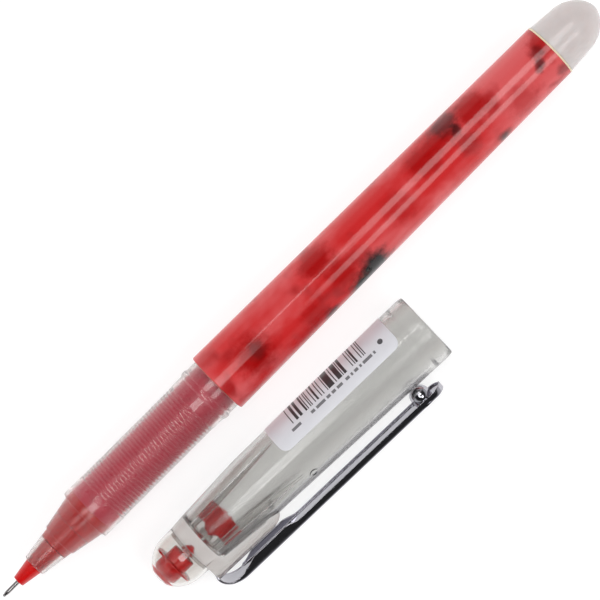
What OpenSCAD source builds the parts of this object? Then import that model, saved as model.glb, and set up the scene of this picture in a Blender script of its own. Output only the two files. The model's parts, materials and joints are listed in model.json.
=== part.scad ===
// Fabric marking pen: a needle-point gel pen with a screwed front section,
// an eraser dome at the tail, and its clear clip cap lying beside it.
// Millimetres, +Z up, everything rests on z = 0.
// The pen lies along X with its point at -X, the cap lies along its -Y side.

/* [Pen body] */
// Length of the uncapped pen, needle tip to eraser
pen_len = 141; // [139:0.5:145]
// Distance from the needle tip to the front rim of the barrel
barrel_x = 51; // [50.5:0.1:51.5]
// Distance from the needle tip to the rear rim of the barrel
barrel_end_x = 130.6; // [128:0.1:131.5]
// Outer radius of the barrel at its front rim
barrel_front_r = 5.85; // [5.7:0.05:6.1]
// Outer radius of the barrel at its rear rim
barrel_rear_r = 5.15; // [5.0:0.05:5.5]
// Thickness of the printed film around the barrel
film_t = 0.1; // [0.05:0.01:0.15]

/* [Writing end] */
// Outer radius of the steel needle
needle_r = 0.4; // [0.35:0.05:0.45]
// Radius of the rolling ball
ball_r = 0.25; // [0.2:0.01:0.27]
// Distance the needle stands out of its holder
needle_out = 3.6; // [3:0.1:4]
// Distance from the needle tip to the lip of the front section
lip_x = 7.4; // [7:0.1:8]

/* [Grip] */
// Outer radius of the grip's plain bands
grip_r = 5.05; // [4.95:0.05:5.1]
// Number of raised rings on the grip
ring_count = 30; // [20:1:34]
// Depth of the grooves between the rings
ring_depth = 0.14; // [0.05:0.01:0.2]
// Radius of the ring that snaps into the cap
snap_r = 5.35; // [5.3:0.01:5.38]

/* [Refill] */
// Outer radius of the ink tube
tube_r = 3.0; // [2.8:0.05:3.0]
// Inner radius of the ink tube
tube_bore_r = 2.7; // [2.5:0.05:2.75]
// Distance from the needle tip to the back of the ink
ink_end_x = 92; // [40:1:95]

/* [Cap] */
// Length of the cap, crown to mouth
cap_len = 62.5; // [62:0.1:63.5]
// Outer radius of the cap near its mouth
cap_mouth_r = 6.45; // [6.4:0.05:6.6]
// Radius of the bore at the mouth
cap_bore_r = 5.5; // [5.45:0.01:5.6]
// Number of long ribs inside the closed end
rib_count = 8; // [4:4:12]

/* [Clip] */
// Width of the clip strip
clip_w = 4.2; // [3.8:0.1:4.4]
// Thickness of the clip's sheet steel
clip_t = 0.4; // [0.3:0.05:0.45]
// Distance from the cap's axis to the back of the clip
clip_back_r = 10.3; // [10:0.1:10.6]
// Distance from the crown to the free end of the clip
clip_end_x = 57.4; // [52:0.1:58]

/* [Layout] */
// Distance along the pen from the needle tip to the crown of the cap
cap_at_x = 20.6; // [10:0.1:40]
// Sideways distance between the axes at the crown
cap_at_side = 16.5; // [15:0.1:25]
// Angle between the two axes seen from above
cap_yaw = 1.43; // [0:0.01:5]

/* [Hidden] */
$fn = 96;
eps = 0.01;

// Colours
cream = [0.93, 0.87, 0.74];
print_red = [0.80, 0.20, 0.20];
milky = [0.82, 0.79, 0.78];
frosted_rose = [0.68, 0.30, 0.34, 0.85];
clear_tube = [0.90, 0.88, 0.88, 0.5];
ink_red = [0.75, 0.06, 0.10];
gel = [0.92, 0.90, 0.80, 0.7];
bright_red = [0.80, 0.06, 0.06];
steel = [0.72, 0.72, 0.74];
chrome = [0.82, 0.82, 0.86];
smoke = [0.70, 0.68, 0.66, 0.45];
clear = [0.85, 0.86, 0.84, 0.35];
label_white = [0.86, 0.87, 0.90];

// Front section, distances from the needle tip
stage_x = 13.4;
shoulder_x = 19.5;
ring_from_x = 24;
ring_to_x = 45;
snap_x = 47.7;
neck_x = 48.8;
spigot_end_x = 60;
spigot_r = 4.5;
lip_r = 2.1;
neck_r = 5.15;
run_gap = 0.06;
wide_gap = 0.1;

// Refill, distances from the needle tip
holder_r = 1.7;
seat_x = 16.75;
collar_end_x = 21;
holder_end_x = 27;
needle_end_x = 9.2;
channel_r = 0.7;
tube_end_x = 111;
follower_len = 5;
plug_len = 4;

// Barrel
film_from_x = barrel_x + 0.15;
film_to_x = barrel_end_x - 0.3;
core_bore_r = 4.35;
eraser_plug_r = 3.9;
eraser_plug_len = 6.6;
stop_x = 112.7;
barrel_ribs = 4;

// Cap, distances from the crown
crown_r = 4.7;
crown_a = 5.5;
crown_end_x = 7.5;
crown_wall = 0.5;
cap_taper_x = 23;
cap_taper_r = 5.88;
cap_shoulder_x = 10.5;
cap_shoulder_r = 5.05;
cap_rim_x = cap_len - 1;
cap_floor_x = 10.2;
cap_floor_r = 4.15;
rib_end_x = 31.4;
rib_r = 3.2;
rib_end_r = 4.75;
bore_at_ribs_r = 5.18;
bead_r = 5.28;
bead_x = 58.2;
bead_len = 0.5;
land_x = 59.2;
seal_x = 11.5;
seal_end_x = 16;
seal_core_r = 1.72;
seal_fin_r = 3.15;
label_from_x = 30.4;
label_to_x = 57.3;
label_t = 0.08;
label_first = 53;
label_sweep = 119;

// Clip, distances from the crown and from the cap's axis
tongue_r = 6.1;
tongue_end_x = 19;
tongue_w = 3.4;
bend_r = 0.9;
loop_x = 7.2;
loop_len = 4.1;
arm_r = clip_back_r - clip_t / 2;
arm_x = loop_x + loop_len;
side_t = 0.35;
side_depth = 1.0;
side_deep = 1.8;
nub_x = 53.4;
nub_r = 1.9;
nub_h = 3.1;
boss_r = 6.95;
boss_end_x = 22.8;
split_gap = 0.01;

// How the cap lies: along its long taper and on the clip's lower edge
cap_pitch = atan((cap_mouth_r - cap_taper_r) / (cap_rim_x - cap_taper_x));
crown_z = cap_mouth_r * cos(cap_pitch) - cap_rim_x * sin(cap_pitch);
arm_height = (crown_z + arm_x * sin(cap_pitch)) / cos(cap_pitch);
edge_r = norm([clip_back_r, clip_w / 2]);
clip_roll = asin(arm_height / edge_r) - atan(clip_w / 2 / clip_back_r);

// The origin is the centre of the footprint
clip_side = clip_back_r * cos(clip_roll) + clip_w / 2 * sin(clip_roll);
far_side = cap_at_side + (clip_end_x - clip_w / 2) * sin(cap_yaw) + clip_side * cos(cap_yaw);
pen_at = [-pen_len / 2, (far_side - barrel_front_r) / 2, barrel_front_r];

function barrel_r(x) =
    barrel_front_r + (barrel_rear_r - barrel_front_r) * (x - barrel_x) / (barrel_end_x - barrel_x);
function cap_r(x) =
    cap_taper_r + (cap_mouth_r - cap_taper_r) * (x - cap_taper_x) / (cap_rim_x - cap_taper_x);
function reversed(list) = [for (i = [len(list) - 1 : -1 : 0]) list[i]];
function ramp(t) = (1 - cos(180 * max(0, min(1, t)))) / 2;

// A path moved sideways by d, and a strip of sheet that follows a path
function beside(path, d) = [for (i = [0 : len(path) - 1])
    let (a = path[max(i - 1, 0)], b = path[min(i + 1, len(path) - 1)], t = (b - a) / norm(b - a))
    path[i] + d * [-t[1], t[0]]];
function strip(path, t) = concat(beside(path, t / 2), reversed(beside(path, -t / 2)));

// Revolves a list of [distance along the axis, radius] about X
module turned(profile) {
    rotate([0, 90, 0])
        rotate_extrude()
            polygon([for (p = profile) [p[1], p[0]]]);
}

module on_pen() {
    translate(pen_at)
        children();
}

module on_cap() {
    translate([pen_at[0] + cap_at_x, pen_at[1] - cap_at_side, crown_z])
        rotate([0, -cap_pitch, -cap_yaw])
            children();
}

// The clip is drawn with its back towards -Y and then rolled down to the surface
module on_clip() {
    on_cap()
        rotate([clip_roll, 0, 0])
            children();
}

// ---- Barrel ----

module barrel_tube() {
    color(cream)
        on_pen() {
            difference() {
                turned([
                    [barrel_x, 0],
                    [barrel_x, barrel_front_r - film_t - 0.35],
                    [barrel_x + 0.1, barrel_front_r - film_t - 0.1],
                    [barrel_x + 0.35, barrel_r(barrel_x) - film_t],
                    [film_to_x, barrel_r(film_to_x) - film_t],
                    [film_to_x, barrel_r(film_to_x)],
                    [barrel_end_x, barrel_rear_r],
                    [barrel_end_x, 0],
                ]);
                turned([
                    [barrel_x - 1, 0],
                    [barrel_x - 1, spigot_r + run_gap],
                    [spigot_end_x + 0.6, spigot_r + run_gap],
                    [spigot_end_x + 1.2, core_bore_r],
                    [barrel_end_x - eraser_plug_len - 1, core_bore_r],
                    [barrel_end_x - eraser_plug_len, eraser_plug_r],
                    [barrel_end_x + 1, eraser_plug_r],
                    [barrel_end_x + 1, 0],
                ]);
            }
            barrel_stop();
        }
}

// A ring and short fins inside the barrel that centre and stop the refill
module barrel_stop() {
    stop_len = 1.6;
    stop_hole_r = 2.2;
    fin_len = 9;
    fin_t = 0.8;
    fin_gap = 0.2;
    wall_r = core_bore_r + 0.3;
    difference() {
        translate([stop_x, 0, 0])
            rotate([0, 90, 0])
                cylinder(r = wall_r, h = stop_len);
        translate([stop_x - 1, 0, 0])
            rotate([0, 90, 0])
                cylinder(r = stop_hole_r, h = stop_len + 2);
    }
    for (i = [0 : barrel_ribs - 1])
        rotate([i * 360 / barrel_ribs, 0, 0])
            translate([stop_x - fin_len, -fin_t / 2, tube_r + fin_gap])
                cube([fin_len + stop_len, fin_t, wall_r - tube_r - fin_gap - 0.05]);
}

module barrel_print() {
    color(print_red)
        on_pen()
            turned([
                [film_from_x, barrel_front_r - film_t - 0.05],
                [film_from_x + 0.03, barrel_front_r - 0.1],
                [film_from_x + 0.3, barrel_r(film_from_x + 0.3)],
                [film_to_x, barrel_r(film_to_x)],
                [film_to_x, barrel_r(film_to_x) - film_t],
                [barrel_x + 0.35, barrel_front_r - film_t],
            ]);
}

// Rounded end of the eraser: radius at a fraction t of the way to the tip
function dome_r(t, base_r) = base_r * pow(1 - pow(t, 1.8), 0.55);

module eraser() {
    dome_x = pen_len - 5.5;
    dome_base_r = 4.65;
    steps = 14;
    tip = pen_len - dome_x;
    color(milky)
        on_pen()
            turned(concat(
                [[barrel_end_x - eraser_plug_len + 0.2, 0],
                    [barrel_end_x - eraser_plug_len + 0.2, eraser_plug_r - 0.5],
                    [barrel_end_x - eraser_plug_len + 0.9, eraser_plug_r],
                    [barrel_end_x, eraser_plug_r],
                    [barrel_end_x, barrel_rear_r - 0.1],
                    [barrel_end_x + 0.3, barrel_rear_r - 0.07]],
                [for (i = [0 : steps])
                    let (t = sin(90 * i / steps))
                    [dome_x + tip * t, i == steps ? 0 : dome_r(t, dome_base_r)]]));
}

// ---- Front section ----

// One raised ring: crest in the middle, groove at each end
function ring(x, pitch) = [
    [x, grip_r - 0.04 - ring_depth],
    [x + pitch * 0.3, grip_r - 0.04 - ring_depth * 0.25],
    [x + pitch * 0.5, grip_r - 0.04],
    [x + pitch * 0.7, grip_r - 0.04 - ring_depth * 0.25],
];

module front_section() {
    pitch = (ring_to_x - ring_from_x) / ring_count;
    lip = 0.2;
    color(frosted_rose)
        on_pen()
            difference() {
                turned(concat(
                    [[lip_x, 0],
                        [lip_x, lip_r - lip],
                        [lip_x + lip, lip_r],
                        [stage_x, 3.0],
                        [stage_x + 0.1, 3.25],
                        [shoulder_x, 4.4],
                        [shoulder_x, grip_r - lip],
                        [shoulder_x + lip, grip_r],
                        [ring_from_x - lip, grip_r]],
                    [for (i = [0 : ring_count - 1]) each ring(ring_from_x + i * pitch, pitch)],
                    [[ring_to_x, grip_r - 0.04 - ring_depth],
                        [ring_to_x + lip, grip_r],
                        [snap_x - 0.3, grip_r],
                        [snap_x + 0.15, snap_r - 0.06],
                        [(snap_x + neck_x) / 2, snap_r],
                        [neck_x - 0.15, snap_r - 0.06],
                        [neck_x + 0.15, neck_r],
                        [barrel_x - 0.02, neck_r],
                        [barrel_x - 0.02, spigot_r],
                        [spigot_end_x - 0.5, spigot_r],
                        [spigot_end_x, spigot_r - 0.4],
                        [spigot_end_x, 0]]));
                turned([
                    [lip_x - 1, 0],
                    [lip_x - 1, holder_r + run_gap],
                    [lip_x + 1.2, holder_r + run_gap],
                    [lip_x + 1.3, holder_r + 0.2],
                    [seat_x - 0.05, 2.65],
                    [seat_x - 0.05, tube_r + wide_gap],
                    [spigot_end_x + 1, tube_r + wide_gap],
                    [spigot_end_x + 1, 0],
                ]);
            }
}

// ---- Refill ----

module refill_tube() {
    color(clear_tube)
        on_pen()
            difference() {
                turned([[collar_end_x, 0], [collar_end_x, tube_r], [tube_end_x, tube_r],
                    [tube_end_x, 0]]);
                turned([[collar_end_x - 1, 0], [collar_end_x - 1, tube_bore_r],
                    [tube_end_x + 1, tube_bore_r], [tube_end_x + 1, 0]]);
            }
}

module ink_column() {
    color(ink_red)
        on_pen()
            turned([[holder_end_x, 0], [holder_end_x, tube_bore_r], [ink_end_x - 1.2, tube_bore_r],
                [ink_end_x, 0]]);
}

module ink_follower() {
    color(gel)
        on_pen()
            turned([[ink_end_x, 0], [ink_end_x - 1.2, tube_bore_r],
                [ink_end_x + follower_len, tube_bore_r], [ink_end_x + follower_len - 0.8, 0]]);
}

module tail_plug() {
    vent_r = 0.5;
    flange_t = 1.5;
    color("white")
        on_pen()
            difference() {
                turned([[tube_end_x - plug_len, 0],
                    [tube_end_x - plug_len, tube_bore_r - 0.2],
                    [tube_end_x - plug_len + 0.5, tube_bore_r],
                    [tube_end_x, tube_bore_r],
                    [tube_end_x, tube_r],
                    [tube_end_x + flange_t - 0.3, tube_r],
                    [tube_end_x + flange_t, tube_r - 0.3],
                    [tube_end_x + flange_t, 0]]);
                translate([tube_end_x - plug_len - 1, 0, 0])
                    rotate([0, 90, 0])
                        cylinder(r = vent_r, h = plug_len + flange_t + 2);
            }
}

module tip_holder() {
    nose_r = 1.05;
    color(bright_red)
        on_pen()
            difference() {
                turned([[needle_out, 0],
                    [needle_out, nose_r - 0.08],
                    [needle_out + 0.08, nose_r],
                    [lip_x, holder_r - 0.02],
                    [lip_x + 1, holder_r],
                    [seat_x, 2.45],
                    [seat_x, tube_r],
                    [collar_end_x, tube_r],
                    [collar_end_x, tube_bore_r],
                    [holder_end_x - 0.4, tube_bore_r],
                    [holder_end_x, tube_bore_r - 0.3],
                    [holder_end_x, 0]]);
                turned([[needle_out - 1, 0],
                    [needle_out - 1, needle_r],
                    [needle_end_x, needle_r],
                    [needle_end_x, channel_r],
                    [holder_end_x + 1, channel_r],
                    [holder_end_x + 1, 0]]);
            }
}

module needle_tube() {
    face_x = 0.1;
    socket_r = ball_r + 0.02;
    bore_r = 0.2;
    lip_angle = acos((ball_r - face_x) / socket_r);
    back_angle = 180 - asin(bore_r / socket_r);
    steps = 12;
    socket = [for (i = [0 : steps])
        let (a = lip_angle + (back_angle - lip_angle) * i / steps)
        [ball_r - socket_r * cos(a), socket_r * sin(a)]];
    color(steel)
        on_pen()
            turned(concat(socket,
                [[needle_end_x, bore_r],
                    [needle_end_x, needle_r],
                    [face_x + 0.5, needle_r],
                    [face_x, needle_r - 0.1]]));
}

module tip_ball() {
    color("dimgray")
        on_pen()
            translate([ball_r, 0, 0])
                sphere(r = ball_r);
}

// Centre line of the spring's coil at a fraction t of its length
function coil_at(t, x0, length, r, turns) =
    [x0 + length * t, r * cos(360 * turns * t), r * sin(360 * turns * t)];

// A fine wire spring behind the needle, with a straight rod that pushes on the ball
module ball_spring() {
    rod_r = 0.09;
    rod_x = 2 * ball_r + 0.04;
    coil_x = needle_end_x + 0.3;
    coil_len = 8;
    coil_r = 0.45;
    wire_r = 0.1;
    turns = 9;
    per_turn = 12;
    sides = 6;
    last = turns * per_turn;
    points = [for (i = [0 : last]) for (k = [0 : sides - 1])
        let (t = i / last, turn = 360 * turns * t, a = 360 * k / sides)
        coil_at(t, coil_x, coil_len, coil_r, turns)
            + wire_r * [sin(a), cos(a) * cos(turn), cos(a) * sin(turn)]];
    walls = [for (i = [0 : last - 1]) for (k = [0 : sides - 1])
        let (next = (k + 1) % sides, row = i * sides)
        [row + next, row + sides + next, row + sides + k, row + k]];
    color(steel)
        on_pen() {
            polyhedron(points = points, faces = concat(
                [[for (k = [sides - 1 : -1 : 0]) k]],
                walls,
                [[for (k = [0 : sides - 1]) last * sides + k]]));
            translate([rod_x, 0, 0])
                rotate([0, 90, 0])
                    cylinder(r = rod_r, h = coil_x - rod_x + wire_r, $fn = 8);
            translate([coil_x, 0, 0])
                rotate([0, 90, 0])
                    cylinder(r = coil_r + wire_r * 0.6, h = wire_r * 1.5, $fn = 12);
        }
}

// ---- Cap ----

module cap_outside() {
    turned([
        [crown_end_x - 0.7, 0],
        [crown_end_x - 0.7, crown_r - crown_wall - 0.05],
        [crown_end_x, crown_r - crown_wall - 0.05],
        [crown_end_x, crown_r + 0.05],
        [cap_shoulder_x, cap_shoulder_r],
        [cap_taper_x, cap_taper_r],
        [cap_rim_x, cap_mouth_r],
        [cap_len - 0.45, cap_mouth_r - 0.03],
        [cap_len - 0.12, cap_mouth_r - 0.2],
        [cap_len, cap_mouth_r - 0.45],
        [cap_len, 0],
    ]);
}

// Raised housing on the side of the cap that holds the clip's tongue
module clip_boss() {
    boss_len = boss_end_x - crown_end_x;
    half = [[4.3, 2.5], [4.0, 5.2], [3.3, 6.45], [3.0, 6.75], [2.6, boss_r]];
    section = concat([for (p = half) [-p[1], p[0]]], [for (p = reversed(half)) [-p[1], -p[0]]]);
    rotate([clip_roll, 0, 0])
        intersection() {
            translate([crown_end_x, 0, 0])
                rotate([90, 0, 90])
                    linear_extrude(height = boss_len)
                        polygon(section);
            mirror([0, 1, 0])
                linear_extrude(height = 12, center = true)
                    polygon([[crown_end_x, 0], [crown_end_x, boss_r - 0.2],
                        [crown_end_x + 0.2, boss_r], [boss_end_x - 3.2, boss_r],
                        [boss_end_x - 1.9, boss_r - 0.12], [boss_end_x - 1, boss_r - 0.5],
                        [boss_end_x - 0.4, boss_r - 1], [boss_end_x, boss_r - 1.7],
                        [boss_end_x, 0]]);
        }
}

module tongue_slot() {
    gap = 0.03;
    slot_w = tongue_w + 0.5;
    rotate([clip_roll, 0, 0]) {
        translate([crown_end_x - 1, -tongue_r - clip_t / 2 - gap, -slot_w / 2])
            cube([tongue_end_x + 1.2 - crown_end_x, clip_t + 2 * gap, slot_w]);
        translate([crown_end_x - 1, -boss_r - 1, -slot_w / 2])
            cube([1.65, boss_r + 1 - tongue_r + clip_t / 2 + gap, slot_w]);
    }
}

module cap_rib() {
    rib_t = 0.4;
    root_x = cap_floor_x - 0.3;
    into_wall = 0.35;
    translate([0, rib_t / 2, 0])
        rotate([90, 0, 0])
            linear_extrude(height = rib_t)
                polygon([[root_x, rib_r], [seal_end_x + 0.2, rib_r],
                    [rib_end_x - 0.5, rib_end_r], [rib_end_x, bore_at_ribs_r + into_wall],
                    [root_x, cap_floor_r + into_wall]]);
}

module cap_body() {
    color(smoke)
        on_cap() {
            difference() {
                union() {
                    cap_outside();
                    clip_boss();
                }
                turned([
                    [cap_floor_x, 0],
                    [cap_floor_x, cap_floor_r - 0.15],
                    [cap_floor_x + 0.2, cap_floor_r],
                    [cap_taper_x, 4.95],
                    [rib_end_x, bore_at_ribs_r],
                    [bead_x - 0.6, cap_bore_r - 0.08],
                    [bead_x, bead_r],
                    [bead_x + bead_len, bead_r],
                    [land_x, cap_bore_r],
                    [cap_len - 0.25, cap_bore_r],
                    [cap_len, cap_bore_r + 0.2],
                    [cap_len + 1, cap_bore_r + 0.2],
                    [cap_len + 1, 0],
                ]);
                turned([[crown_end_x - 1, 0], [crown_end_x - 1, 1.4], [crown_end_x, 1.4],
                    [crown_end_x + 1.05, 0.35], [crown_end_x + 1.05, 0]]);
                tongue_slot();
            }
            for (i = [0 : rib_count - 1])
                rotate([i * 360 / rib_count, 0, 0])
                    cap_rib();
        }
}

// Half an ellipse's profile from its tip to its widest point
function nose_profile(tip_x, a, b, steps) =
    [for (i = [0 : steps]) [tip_x + a * (1 - cos(90 * i / steps)), b * sin(90 * i / steps)]];

module crown_dome() {
    inner_r = crown_r - crown_wall;
    color(clear)
        on_cap()
            difference() {
                turned(concat(nose_profile(0, crown_a, crown_r, 14),
                    [[crown_end_x, crown_r + 0.05], [crown_end_x, 0]]));
                turned(concat(nose_profile(crown_wall, crown_a - crown_wall, inner_r, 14),
                    [[crown_end_x + 1, inner_r], [crown_end_x + 1, 0]]));
            }
}

module crown_plug() {
    plug_r = 2.4;
    color(bright_red)
        on_cap()
            turned([[1.5, 0], [1.5, plug_r - 0.15], [1.65, plug_r], [3.4, plug_r], [3.55, 3.8],
                [3.8, 3.8], [3.9, plug_r - 0.15], [6.0, plug_r - 0.15], [6.15, plug_r - 0.3],
                [6.15, 1.3], [crown_end_x - 0.05, 1.3], [crown_end_x + 0.95, 0.3],
                [crown_end_x + 0.95, 0]]);
}

// Finned guide that steers the needle into the soft pad
module inner_seal() {
    fin_t = 0.9;
    bore_r = 0.5;
    color(bright_red)
        on_cap()
            difference() {
                union() {
                    turned([[seal_x, 0], [seal_x, 0.9], [12.3, seal_core_r],
                        [seal_end_x, seal_core_r], [seal_end_x, 0]]);
                    for (i = [0 : 3])
                        rotate([90 * i, 0, 0])
                            translate([12.2, -fin_t / 2, 0])
                                cube([seal_end_x - 12.2 - 0.1, fin_t, seal_fin_r]);
                }
                turned([[seal_x - 1, 0], [seal_x - 1, bore_r], [14.9, bore_r],
                    [seal_end_x + 0.01, 1.3], [seal_end_x + 1, 1.3], [seal_end_x + 1, 0]]);
            }
}

module seal_pad() {
    pad_r = 1.3;
    color("whitesmoke")
        on_cap()
            turned([[cap_floor_x, 0], [cap_floor_x, pad_r], [seal_x - 0.2, pad_r],
                [seal_x, pad_r - 0.2], [seal_x, 0]]);
}

module cap_label() {
    color(label_white)
        on_cap()
            rotate([0, 90, 0])
                rotate([0, 0, label_first])
                    rotate_extrude(angle = label_sweep)
                        polygon([[cap_r(label_from_x), label_from_x],
                            [cap_r(label_from_x) + label_t, label_from_x],
                            [cap_r(label_to_x) + label_t, label_to_x],
                            [cap_r(label_to_x), label_to_x]]);
}

// ---- Clip ----

bend_c = [loop_x + bend_r, tongue_r + bend_r];
tongue_path = concat([[tongue_end_x, tongue_r]],
    [for (a = [270 : -10 : 180]) bend_c + bend_r * [cos(a), sin(a)]]);
loop_path = [for (a = [0 : 7.5 : 90])
    [arm_x - loop_len * cos(a), bend_c[1] + (arm_r - bend_c[1]) * sin(a)]];

module side_plate(outline, width) {
    mirror([0, 1, 0])
        linear_extrude(height = width, center = true)
            polygon(outline);
}

module clip_tongue() {
    barb = 0.2;
    color(chrome)
        on_clip() {
            side_plate(strip(tongue_path, clip_t), tongue_w);
            for (x = [10 : 1.6 : 18])
                translate([x, -tongue_r, 0])
                    rotate([90, 0, 0])
                        linear_extrude(height = clip_t * 0.9, center = true)
                            polygon([[0, -tongue_w / 2 - barb], [0.9, -tongue_w / 2],
                                [0.9, tongue_w / 2], [0, tongue_w / 2 + barb]]);
        }
}

// Plan of the arm, with a round free end, inset on all sides by the given amount
module arm_plan(inset) {
    r = clip_w / 2 - inset;
    translate([arm_x, -r])
        square([clip_end_x - clip_w / 2 - arm_x, 2 * r]);
    translate([clip_end_x - clip_w / 2, 0])
        circle(r = r);
}

// The arm's plan as a slab between two distances from the cap's axis
module arm_slab(r_from, r_to, inset) {
    rotate([90, 0, 0])
        translate([0, 0, r_from])
            linear_extrude(height = r_to - r_from)
                arm_plan(inset);
}

// Depth of the channel's sides: deeper just past the loop
function side_at(x) = clip_t + (side_deep - clip_t) * ramp((x - 12) / 3) * ramp((24.2 - x) / 3);

module clip_arm() {
    inner_r = clip_back_r - clip_t;
    nub_c = inner_r - nub_h + nub_r;
    nub_wall = 0.4;
    from_x = 25;
    deep = concat([[arm_x, clip_back_r]],
        [for (x = [arm_x : 0.45 : from_x]) [x, clip_back_r - side_at(x)]],
        [[from_x, clip_back_r]]);
    color(chrome)
        on_clip()
            difference() {
                union() {
                    translate([0, -split_gap, 0])
                        side_plate(strip(concat(loop_path, [[arm_x + 2, arm_r]]), clip_t), clip_w);
                    for (side = [-1, 1])
                        translate([0, 0, side * (clip_w - side_t) / 2])
                            side_plate(deep, side_t);
                    arm_slab(inner_r, clip_back_r, 0);
                    difference() {
                        arm_slab(clip_back_r - side_depth, inner_r + eps, 0);
                        arm_slab(clip_back_r - 2, inner_r + 2 * eps, side_t);
                        translate([0, -clip_back_r - 1, -clip_w])
                            cube([from_x, 4, 2 * clip_w]);
                    }
                    translate([nub_x, -nub_c, 0])
                        sphere(r = nub_r);
                    translate([nub_x, -nub_c, 0])
                        rotate([90, 0, 0])
                            cylinder(r = nub_r, h = inner_r - nub_c + clip_t / 2);
                }
                translate([nub_x, -nub_c, 0])
                    sphere(r = nub_r - nub_wall);
                translate([nub_x, -nub_c, 0])
                    rotate([90, 0, 0])
                        cylinder(r = nub_r - nub_wall, h = nub_r + 3);
            }
}

barrel_tube();
barrel_print();
eraser();
front_section();
refill_tube();
ink_column();
ink_follower();
tail_plug();
tip_holder();
needle_tube();
ball_spring();
tip_ball();
cap_body();
crown_dome();
crown_plug();
inner_seal();
seal_pad();
clip_tongue();
clip_arm();
cap_label();
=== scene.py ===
import json
import math

import bmesh
import bpy
from mathutils import Matrix, Vector


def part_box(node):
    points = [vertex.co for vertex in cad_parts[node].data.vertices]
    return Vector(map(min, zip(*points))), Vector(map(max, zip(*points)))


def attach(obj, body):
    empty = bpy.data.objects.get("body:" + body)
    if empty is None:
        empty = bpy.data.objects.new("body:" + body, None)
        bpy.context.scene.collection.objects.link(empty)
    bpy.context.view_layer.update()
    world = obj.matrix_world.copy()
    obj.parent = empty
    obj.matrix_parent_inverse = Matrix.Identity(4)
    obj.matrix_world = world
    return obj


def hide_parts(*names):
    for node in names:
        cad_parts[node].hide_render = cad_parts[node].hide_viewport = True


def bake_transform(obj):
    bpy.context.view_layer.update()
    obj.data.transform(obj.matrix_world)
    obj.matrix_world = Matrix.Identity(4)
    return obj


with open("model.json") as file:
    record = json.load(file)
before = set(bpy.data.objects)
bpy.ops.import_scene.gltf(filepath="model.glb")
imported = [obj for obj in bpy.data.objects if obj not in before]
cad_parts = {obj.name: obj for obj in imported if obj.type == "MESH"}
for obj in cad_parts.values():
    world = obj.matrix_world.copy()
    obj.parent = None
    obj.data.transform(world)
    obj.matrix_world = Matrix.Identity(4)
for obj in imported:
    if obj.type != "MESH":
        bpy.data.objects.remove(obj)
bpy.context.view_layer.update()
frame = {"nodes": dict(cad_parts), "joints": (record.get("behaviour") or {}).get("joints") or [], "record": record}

# ---- Places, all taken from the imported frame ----

MM = 0.001
record = frame["record"]
mounts = {m["name"]: m for m in record["mounts"]}
joints = {j["name"]: j for j in frame["joints"]}

# The pen's own frame in millimetres: X runs from the ball's front to the eraser
film_low, film_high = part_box("barrel_print")
ball_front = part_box("tip_ball")[0].x
axis_y, axis_z = (film_low.y + film_high.y) / 2, (film_low.z + film_high.z) / 2
pen_start = Vector((ball_front, axis_y, axis_z))
PEN = Matrix.Translation(pen_start) @ Matrix.Scale(MM, 4)

# The cap's frame: X runs from the crown to the mouth, Z is up
MOUTH_AT = 60.7
cap_x = Vector(mounts["cap_mouth"]["axis"]).normalized()
cap_y = Vector((0, 0, 1)).cross(cap_x).normalized()
cap_z = cap_x.cross(cap_y)
crown_start = Vector(mounts["cap_mouth"]["pos_m"]) - cap_x * MOUTH_AT * MM

# The clip's frame: the cap's, rolled about X so that the clip's back faces -Y
clip_z = -Vector(joints["clip_flex"]["axis"]).normalized()
clip_y = clip_z.cross(cap_x)


def frame_of(x, y, z, origin):
    turn = Matrix((x, y, z)).transposed().to_4x4()
    return Matrix.Translation(origin) @ turn @ Matrix.Scale(MM, 4)


CAP = frame_of(cap_x, cap_y, cap_z, crown_start)
CLIP = frame_of(cap_x, clip_y, clip_z, crown_start)
CLIP_IN_CAP = CAP.inverted() @ CLIP

# ---- Sizes in millimetres, as in the CAD ----

PEN_LEN = 141.0
BARREL_X, BARREL_END = 51.0, 130.6
BARREL_FRONT_R, BARREL_REAR_R = 5.85, 5.15
LIP_X, STAGE_X, SHOULDER_X, SNAP_X, NECK_X = 7.4, 13.4, 19.5, 47.7, 48.8
GRIP_R, SNAP_R, NECK_R, SPIGOT_R, SPIGOT_END = 5.05, 5.35, 5.15, 4.5, 60.0
RINGS_FROM, RINGS_TO, RING_COUNT, RING_DEPTH = 24.0, 45.0, 30, 0.14
HOLDER_R, SEAT_X, COLLAR_END, HOLDER_END = 1.7, 16.75, 21.0, 27.0
TUBE_R, TUBE_BORE_R, TUBE_END = 3.0, 2.7, 111.0
CAP_LEN, CAP_RIM_X, CAP_MOUTH_R, CAP_BORE_R = 62.5, 61.5, 6.45, 5.5
TAPER_X, TAPER_R = 23.0, 5.88
CROWN_END, CROWN_R, CROWN_A, STEM_R = 7.5, 4.7, 5.5, 0.8
SEAL_X, SEAL_END = 11.5, 16.0
LABEL_FROM, LABEL_TO, LABEL_START, LABEL_SWEEP = 30.4, 57.3, 8.0, 119.0
CLIP_W, CLIP_T, CLIP_BACK, CLIP_END = 4.2, 0.4, 10.3, 57.4
TONGUE_R, TONGUE_END, TONGUE_W, BEND_R = 6.1, 19.0, 3.4, 0.9
LOOP_X, LOOP_LEN = 7.2, 4.1
NUB_X, NUB_R, NUB_H = 53.4, 1.9, 3.1


def barrel_r(x):
    return BARREL_FRONT_R + (BARREL_REAR_R - BARREL_FRONT_R) * (x - BARREL_X) / (BARREL_END - BARREL_X)


def cap_r(x):
    return TAPER_R + (CAP_MOUTH_R - TAPER_R) * (x - TAPER_X) / (CAP_RIM_X - TAPER_X)


def ramp(t):
    t = max(0.0, min(1.0, t))
    return t * t * (3 - 2 * t)


# ---- Mesh helpers: everything is built in millimetres in a local frame ----


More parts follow.
